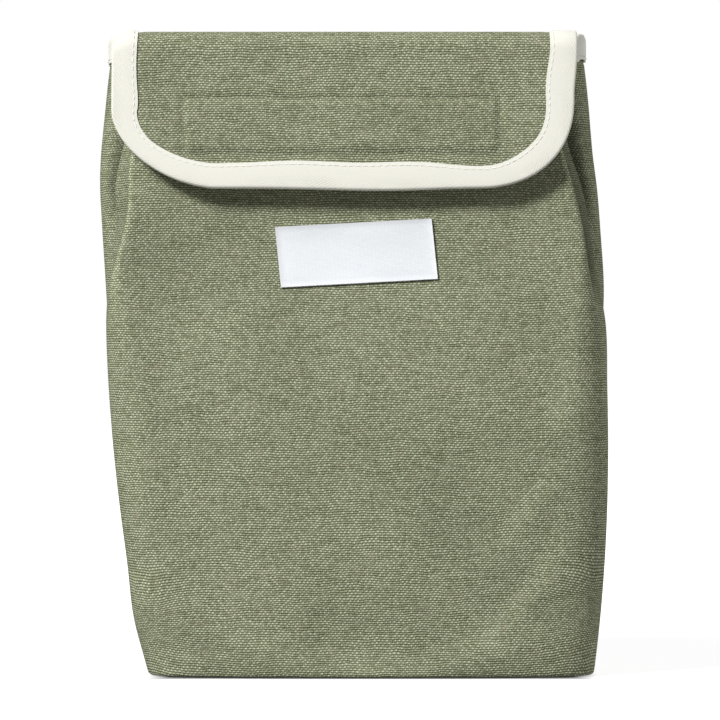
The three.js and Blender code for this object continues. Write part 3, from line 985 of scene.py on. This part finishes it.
def tape_profile(face):
    """The folded tape across, as distance in from the edge and depth: outer face, fold and underside."""
    outer = [(face, -0.42), (face * 0.8, -0.6), (face * 0.5, -0.7), (face * 0.22, -0.72), (0.3, -0.72)]
    fold = [(-0.5, -0.74), (-0.86, -0.5), (-0.86, 0.3), (-0.66, 1.8), (-0.4, 3.5), (-0.1, 4.8)]
    inner = [(0.4, 5.35), (1.2, 5.5), (face * 0.3, 5.54), (face * 0.65, 5.5), (face, 5.3)]
    return outer + fold + inner


def tape_sheet(name, rows, fold):
    """Tape through rows of points across it. Its length is measured along one column, at the fold."""
    run = run_lengths(rows, 0)[:, fold : fold + 1] + np.zeros(rows.shape[:2])
    lengths = np.stack([run, run_lengths(rows, 1)], axis=2)
    made = lay_sheet(name, rows, lengths, grid_faces(*rows.shape[:2], False), tape)
    refine(made)
    thicken(made, TAPE_THICKNESS, 0)
    return made


def lay_tape(name, path, widen):
    """Tape over the flap's edge along a path. widen(i) is the tape's face at the path's i-th point."""
    rows = []
    for i, (x, s, inward_x, inward_s) in enumerate(path):
        profile = tape_profile(widen(i))
        rows.append([flap_point(x + inward_x * q, s + inward_s * q, d) for q, d in profile])
    return tape_sheet(name, np.array(rows), FLAP_TAPE_FOLD)


LEFT_NARROW = 0.8
edge = edge_path(MID_TOP, MID_TOP)


def hand_sewn(i):
    """The tape's face. It wanders, and is narrower round the lower corners and up the left."""
    x, s = edge[i][:2]
    wave = 0.3 * math.sin(i / 4.1) + 0.25 * math.sin(i / 9.7 + 1)
    low = share(s, FLAP_END - 36, FLAP_END - 14)
    corners = low * (2.6 * swell(x, -82, 28) + 2.0 * swell(x, 60, 22))
    narrow = LEFT_NARROW * share(x, -80, -92)
    return TAPE_FACE + wave - corners - narrow


flap_tape = lay_tape("flap_tape", edge, hand_sewn)
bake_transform(flap_tape)
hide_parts("flap_front_binding")
print("flap tape:", len(flap_tape.data.polygons), "faces")

# %% Tape along the two sides of the flap's top
stations = steps_through(0, (REAR_END, 15), (MID_TOP, 13))
rear_left = [(root_x(-1, s), s, 1, 0) for s in stations]
rear_right = [(root_x(1, s), s, -1, 0) for s in stations[::-1]]
tape_left = lay_tape("flap_tape_left", rear_left, lambda i: TAPE_FACE - LEFT_NARROW)
tape_right = lay_tape("flap_tape_right", rear_right, lambda i: TAPE_FACE)
for made in (tape_left, tape_right):
    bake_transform(made)
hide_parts("flap_top_binding_left")
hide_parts("flap_top_binding_right")
print("side tapes:", len(tape_left.data.polygons) + len(tape_right.data.polygons), "faces")

# %% [markdown]
# ## Rim tape
# The mouth's edge carries the same tape, from one end of the flap's root round the front to the other.
# It follows the bag's outline at its own depths, so it is lofted from the same half outlines as the
# panels, folded over all layers.

# %% Fold tape over the rim
def rim_profile():
    """Depth into the wall and height, from the outside of the rim over its top to the inside."""
    outer = [(-0.25, 0), (-0.35, 4), (-0.35, 8), (-0.3, 10.1)]
    over = [(-0.1, 10.9), (1.2, 11.1), (3.2, 11.1), (5.2, 11.1), (6.5, 10.9)]
    inner = [(7.0, 10.1), (7.12, 8), (7.12, 4), (7.0, 0)]
    return [(depth, RIM_TOP - TAPE_DOWN + up) for depth, up in outer + over + inner]


def rim_row(inset, z):
    """The outline at a depth and height, from the left of the flap's root by the front to its right."""

    def half(side, wall):
        return half_row(min(z, RIM_HEIGHT), inset, side, wall, z, 1)

    line = half(LEFT, BACK)[:-1] + half(LEFT, FRONT)[::-1]
    return line + half(RIGHT, FRONT)[1:] + half(RIGHT, BACK)[-2::-1]


first = TAB_COLUMN + 1
columns = [np.array(rim_row(inset, z)) for inset, z in rim_profile()]
rim_tape = tape_sheet("rim_tape", np.stack(columns, axis=1)[first:-first], RIM_TAPE_FOLD)
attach(rim_tape, "bag")
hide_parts("rim_binding")
print("rim tape:", len(rim_tape.data.polygons), "faces")

# %% [markdown]
# ## Lining
# Inside, silver film keeps the cold in. It creases where it is sewn and where things push at it, which
# a mirror-smooth sheet would miss. The form is the bag's own, nearly six millimetres in, with a crinkle
# of folded facets in the material.

# %% Film material
film, tree, shader = new_material("silver_film")
place = shader_node(tree, "ShaderNodeTexCoord")["Object"]
facets = shader_node(tree, "ShaderNodeTexVoronoi", {"Vector": place, "Scale": 62})["Distance"]
ripples = noise(tree, place, 48, 5)["Fac"]
crease = calc(tree, "MULTIPLY_ADD", facets, 0.6, ripples)
finish = {
    "Base Color": ramp(tree, ripples, (0.24, 0.245, 0.255), (0.52, 0.53, 0.545)),
    "Metallic": 0.7,
    "Roughness": remap(tree, ripples, 0.3, 0.7, 0.3, 0.48),
    "Normal": bumped(tree, crease, 0.7, 0.0016),
}
feed(tree, shader, finish)
print("film material:", len(tree.nodes), "nodes")

# %% Lining of the front and the back
FILM_DEPTH = 5.8
FILM_THICKNESS = 0.6
LINING_ROWS = 40
for node, wall in (("lining_front", FRONT), ("lining_back", BACK)):
    rows = panel_rows(wall, FILM_DEPTH, FILM_DEPTH, LINING_ROWS)
    lengths = panel_lengths(rows, wall)
    faces = grid_faces(len(rows), COLUMNS, wall == FRONT) + [base_face(COLUMNS, wall == FRONT)]
    made = lay_sheet(node + "_film", rows, lengths, faces, film)
    refine(made)
    thicken(made, FILM_THICKNESS, 1)
    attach(made, "bag")
    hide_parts(node)

# %% Film under the flap, in two pieces that meet in the middle of its top
FLAP_FILM_DEPTH = 4.2
DRAWN_DEPTH = 1.6
FILM_MARGIN = 1.2
FILM_HALF, FILM_WIDEN = 88.2, 7
FILM_COLUMNS = 64
FILM_START = -5


def film_depth(s):
    """The film's depth: the lining's at first, drawn to the canvas in the rear fold, then the flap's."""
    lined = FILM_DEPTH + (DRAWN_DEPTH - FILM_DEPTH) * eased(s, FILM_START, 1.5)
    return lined + (FLAP_FILM_DEPTH - DRAWN_DEPTH) * eased(s, REAR_END - 4, REAR_END + 8)


def flap_film(name, stations):
    """A sheet of film under the flap, narrower at its root."""
    rows, lengths = [], []
    for s in stations:
        widest = FILM_HALF + FILM_WIDEN * eased(s, 0, REAR_END)
        left, right = (min(flap_half(s, side) - FILM_MARGIN, widest) for side in (LEFT, RIGHT))
        xs = np.linspace(-left, right, FILM_COLUMNS + 1)
        rows.append([flap_point(x, s, film_depth(s)) for x in xs])
        lengths.append([(x, s) for x in xs])
    faces = grid_faces(len(rows), FILM_COLUMNS + 1, False)
    made = lay_sheet(name, np.array(rows), np.array(lengths), faces, film)
    thicken(made, FILM_THICKNESS, 1)
    return made


stations = steps_through(FILM_START, (REAR_RISE, 4), (REAR_END, 8), (MID_TOP, 9))
film_root = flap_film("flap_film_root", stations)
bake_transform(film_root)
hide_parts("flap_top_lining")
stations = steps_through(MID_TOP, (TOP_END, 9), (FOLD_END, 8), (FLAP_END - CORNER_RUN, 9))
stations += corner_steps(FLAP_END - FILM_MARGIN, CORNER_RUN - FILM_MARGIN, 18)
film_front = flap_film("flap_film_front", stations)
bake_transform(film_front)
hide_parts("flap_front_lining")
print("film under the flap:", len(film_root.data.polygons) + len(film_front.data.polygons), "faces")

# %% [markdown]
# ## Closure
# The flap closes on hook-and-loop tape: the hook half behind the flap, the loop half on the front wall.
# Each is a strip with rounded corners and a flat selvedge. A plane is added, its corners are bevelled,
# and it is drawn out to its thickness; the hooks and loops are too small to model, so they are raised
# in the material.


# %% Hook and loop materials
def nap_material(name, scale, height, dark, pale):
    """Hook-and-loop tape: a nap of small tufts."""
    made, tree, shader = new_material(name)
    place = shader_node(tree, "ShaderNodeTexCoord")["Object"]
    tufts = shader_node(tree, "ShaderNodeTexVoronoi", {"Vector": place, "Scale": scale})["Distance"]
    lint = noise(tree, place, scale * 1.7, 3)["Fac"]
    nap = calc(tree, "MULTIPLY_ADD", lint, 0.6, calc(tree, "SUBTRACT", 0.7, tufts))
    finish = {
        "Base Color": ramp(tree, nap, dark, pale),
        "Roughness": remap(tree, lint, 0, 1, 0.7, 0.95),
        "Normal": bumped(tree, nap, 0.8, height),
    }
    feed(tree, shader, finish)
    return made


hooks = nap_material("closure_hooks", 1300, 0.0006, (0.07, 0.075, 0.04), (0.3, 0.31, 0.2))
loops = nap_material("closure_loops", 800, 0.0005, (0.13, 0.14, 0.085), (0.33, 0.345, 0.235))
print("nap materials:", hooks.name, loops.name)

# %% Model a strip, and put one on each side
STRIP_CORNER = 2 * MM
SELVEDGE = 2.2 * MM
STRIP_THICKNESS = 1.1 * MM
NAP_RISE = 0.3 * MM
HOOK_DEPTH, LOOP_DEPTH = 6.4, 8.15


def draw_out(distance):
    """Draws the selected faces out by a distance."""
    bpy.ops.mesh.extrude_region_move(TRANSFORM_OT_translate={"value": (0, 0, distance)})


def closure_strip(name, depth, material):
    """A strip with rounded corners, whose back is at a depth under the flap's canvas."""
    bpy.ops.object.select_all(action="DESELECT")
    bpy.ops.mesh.primitive_plane_add(size=1)
    strip = bpy.context.object
    strip.name = name
    bpy.ops.object.mode_set(mode="EDIT")
    bpy.ops.mesh.select_all(action="SELECT")
    bpy.ops.transform.resize(value=(STRIP_LENGTH * MM, STRIP_HEIGHT * MM, 1))
    bpy.ops.mesh.bevel(offset=STRIP_CORNER, segments=4, affect="VERTICES")
    bpy.ops.mesh.inset(thickness=SELVEDGE)
    bpy.ops.mesh.select_all(action="SELECT")
    draw_out(STRIP_THICKNESS)
    bpy.ops.mesh.select_all(action="DESELECT")
    bpy.ops.object.mode_set(mode="OBJECT")
    field = max(strip.data.polygons, key=lambda face: (face.center.z > 0.5 * MM, face.area))
    field.select = True
    bpy.ops.object.mode_set(mode="EDIT")
    draw_out(NAP_RISE)
    bpy.ops.mesh.select_all(action="SELECT")
    bpy.ops.mesh.normals_make_consistent(inside=False)
    bpy.ops.object.mode_set(mode="OBJECT")
    y, z = flap_line((STRIP_TOP + STRIP_BOTTOM) / 2, depth)
    strip.rotation_euler = (math.pi / 2 - FLAP_LEAN, 0, 0)
    strip.location = ((FLAP_ASIDE + STRIP_ASIDE) * MM, y * MM, z * MM)
    bpy.ops.object.transform_apply(location=True, rotation=True, scale=True)
    strip.data.materials.append(material)
    return strip


hook_strip = closure_strip("closure_hook_strip", HOOK_DEPTH, hooks)
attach(hook_strip, "flap_front")
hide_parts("hook_strip")
loop_strip = closure_strip("closure_loop_strip", LOOP_DEPTH, loops)
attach(loop_strip, "bag")
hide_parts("loop_strip")
print("strips:", [len(strip.data.polygons) for strip in (hook_strip, loop_strip)], "faces")

# %% [markdown]
# ## Label
# A white woven label lies under the flap, a few degrees askew. The real one carries writing, which
# belongs to its maker, so this one stays blank. A flat plate would sink into the wall or float on it, so
# it is a thin sheet laid on the settled canvas, and its edges stand up a hair. The satin comes from the
# same weave group as the canvas, with ribs half as far apart.

# %% Satin material
satin, tree, shader = new_material("white_satin")
flat = shader_node(tree, "ShaderNodeUVMap", uv_map="cloth")["UV"]
threads = {"Lengths": flat, "Warp": 0.0016, "Weft": 0.0005, "Wander": 0.0002}
ribs = shader_node(tree, "ShaderNodeGroup", threads, node_tree=weave)
finish = {
    "Base Color": ramp(tree, ribs["Tone"], (0.67, 0.69, 0.715), (0.77, 0.79, 0.815)),
    "Roughness": remap(tree, ribs["Slub"], 0, 1, 0.45, 0.62),
    "Specular IOR Level": 0.3,
    "Normal": bumped(tree, ribs["Height"], 0.2, 0.0001),
}
feed(tree, shader, finish)
print("satin material:", len(tree.nodes), "nodes")

# %% Lay the label on the front wall
LABEL_WIDTH, LABEL_HEIGHT = 66.0, 25.5
LABEL_THICKNESS = 0.5
LABEL_TURN = math.radians(3.1)
LABEL_X, LABEL_Z = 2.0, 177.4
LABEL_ROWS, LABEL_COLUMNS = 21, 49
BEFORE_THE_BAG = -0.2

def wall_front(x, z, rise):
    """The settled canvas of the front at a place, raised by a distance."""
    start = Vector((x * MM, BEFORE_THE_BAG, z * MM))
    place = canvas_front.ray_cast(start, Vector((0, 1, 0)))[1]
    return place.y / MM - rise


rows, lengths = [], []
for v in np.linspace(-0.5, 0.5, LABEL_ROWS):
    row, flat_row = [], []
    for u in np.linspace(-0.5, 0.5, LABEL_COLUMNS):
        across, up = u * LABEL_WIDTH, v * LABEL_HEIGHT
        x = LABEL_X + across * math.cos(LABEL_TURN) - up * math.sin(LABEL_TURN)
        z = LABEL_Z + across * math.sin(LABEL_TURN) + up * math.cos(LABEL_TURN)
        edge_gap = min(0.5 - abs(u), (0.5 - abs(v)) * 0.4)
        wave = 0.25 * math.sin(u * 9 + 2 * v) * eased(edge_gap, 0, 0.1)
        lift = 0.55 + wave + 0.35 * share(edge_gap, 0.02, 0)
        row.append((x + lean(z), wall_front(x + lean(z), z, lift), z))
        flat_row.append((across, up))
    rows.append(row)
    lengths.append(flat_row)
faces = grid_faces(LABEL_ROWS, LABEL_COLUMNS, False)
label = lay_sheet("blank_label", np.array(rows), np.array(lengths), faces, satin)
thicken(label, LABEL_THICKNESS, 0)
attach(label, "bag")
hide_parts("woven_label")
print("label:", len(label.data.polygons), "faces")

# %% [markdown]
# ## Stitching
# Every tape and strip is sewn through, and the thread shows as a row of small grains. Drawing them as a
# texture would leave them flat where the light grazes. So one stitch is modelled, a stretched ball of
# forty faces, and copied along each seam; a row is one piece, and most rows are attached to the body
# of the cloth that they hold.

# %% Thread materials and one stitch
def thread_material(name, colour):
    """Thread of one colour, with a fine, uneven tone."""
    made, tree, shader = new_material(name)
    place = shader_node(tree, "ShaderNodeTexCoord")["Object"]
    shade = remap(tree, noise(tree, place, 1600, 1)["Fac"], 0.3, 0.7, 0.82, 1.12)
    feed(tree, shader, {"Base Color": scaled(tree, colour, shade), "Roughness": 0.75})
    return made


cream_thread = thread_material("cream_thread", (0.79, 0.775, 0.69))
olive_thread = thread_material("olive_thread", (0.2, 0.215, 0.13))
bpy.ops.object.select_all(action="DESELECT")
bpy.ops.mesh.primitive_uv_sphere_add(segments=8, ring_count=5, radius=1)
one_stitch = bpy.context.object
STITCH_POINTS = np.array([tuple(v.co) for v in one_stitch.data.vertices])[:, [2, 0, 1]]
STITCH_FACES = [tuple(face.vertices) for face in one_stitch.data.polygons]
STITCH_FILL, STITCH_HALF_WIDTH, STITCH_HALF_RISE = 0.4, 0.27, 0.2
bpy.data.objects.remove(one_stitch)


def spaced(line, pitch):
    """Points at an even pitch along a line of points."""
    line = np.array(line)
    along = np.concatenate([[0], np.cumsum(np.linalg.norm(np.diff(line, axis=0), axis=1))])
    count = max(int(along[-1] / pitch), 1)
    marks = (np.arange(count) + 0.5) * along[-1] / count
    return np.stack([np.interp(marks, along, line[:, axis]) for axis in range(line.shape[1])], axis=1)


def sew(name, line, surface, pitch, thread):
    """Stitches along a line on a surface. surface(point, out) is a place on it, raised by out."""
    marks = spaced(line, pitch)
    points, faces = [], []
    for mark, ahead in zip(marks, np.gradient(marks, axis=0)):
        middle = Vector(surface(mark, 0))
        along = (Vector(surface(mark + ahead * 0.1, 0)) - middle).normalized()
        out = (Vector(surface(mark, 0.5)) - middle).normalized()
        aside = out.cross(along) * STITCH_HALF_WIDTH
        axes = np.array([along * pitch * STITCH_FILL, aside, out * STITCH_HALF_RISE])
        before = len(STITCH_POINTS) * len(points)
        faces += [[before + i for i in face] for face in STITCH_FACES]
        points.append(STITCH_POINTS @ axes + np.array(middle))
    points = np.array(points)
    row = lay_sheet(name, points, np.zeros((*points.shape[:2], 2)), faces, thread)
    return row


# %% Sew the tapes and the closure
TAPE_PITCH, STRIP_PITCH = 3.0, 2.6
SEAM_MARGIN = 1.5


def flap_face(depth, way):
    """A surface at a depth under the flap's canvas, raised inwards at way 1 and outwards at -1."""
    return lambda mark, out: flap_point(mark[0], mark[1], depth + way * out)


def on_flap(mark, out):
    """The flap's canvas, with its relief."""
    return flap_point(mark[0], mark[1], -flap_relief(mark[0], mark[1]) - 0.05 - out)


tape_top, tape_under = flap_face(-0.98, -1), flap_face(5.86, 1)
on_loop_strip, on_hook_strip = flap_face(7.0, -1), flap_face(6.25, 1)
seam = []
for i, (x, s, inward_x, inward_s) in enumerate(edge):
    seam_in = hand_sewn(i) - SEAM_MARGIN
    seam.append((x + inward_x * seam_in, s + inward_s * seam_in))
for name, face in (("flap_seam_outside", tape_top), ("flap_seam_inside", tape_under)):
    row = sew(name, seam, face, TAPE_PITCH, cream_thread)
    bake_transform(row)
for side, path in (("left", rear_left), ("right", rear_right)):
    seam_in = TAPE_FACE - SEAM_MARGIN
    seam = [(x + inward_x * seam_in, s) for x, s, inward_x, inward_s in path if s > REAR_END - 1]
    for name, face in (("outside", tape_top), ("inside", tape_under)):
        row = sew("root_seam_" + side + "_" + name, seam, face, TAPE_PITCH, cream_thread)
        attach(row, "flap_top")
left, right = STRIP_ASIDE - FIELD_HALF, STRIP_ASIDE + FIELD_HALF
box = [(left, FIELD_TOP), (right, FIELD_TOP), (right, FIELD_BOTTOM), (left, FIELD_BOTTOM)]
for name, face, slot, body in (
    ("closure_seam_outside", on_flap, "canvas", "flap_front"),
    ("hook_strip_seam", on_hook_strip, "closure", "flap_front"),
    ("loop_strip_seam", on_loop_strip, "closure", "bag"),
):
    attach(sew(name, box + box[:1], face, STRIP_PITCH, olive_thread), body)


def on_rim(mark, out):
    """A place on the rim tape, raised towards the second point that each mark holds."""
    return mark[:3] + (mark[3:] - mark[:3]) * out


seam_height = RIM_TOP - TAPE_DOWN + SEAM_MARGIN
for name, inset, beyond in (("rim_seam_outside", -0.74, -1.74), ("rim_seam_inside", 7.5, 8.5)):
    both = [rim_row(inset, seam_height), rim_row(beyond, seam_height)]
    line = np.concatenate(both, axis=1)[first + 1 : -first - 1]
    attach(sew(name, line, on_rim, TAPE_PITCH, cream_thread), "bag")
print("seams sewn")
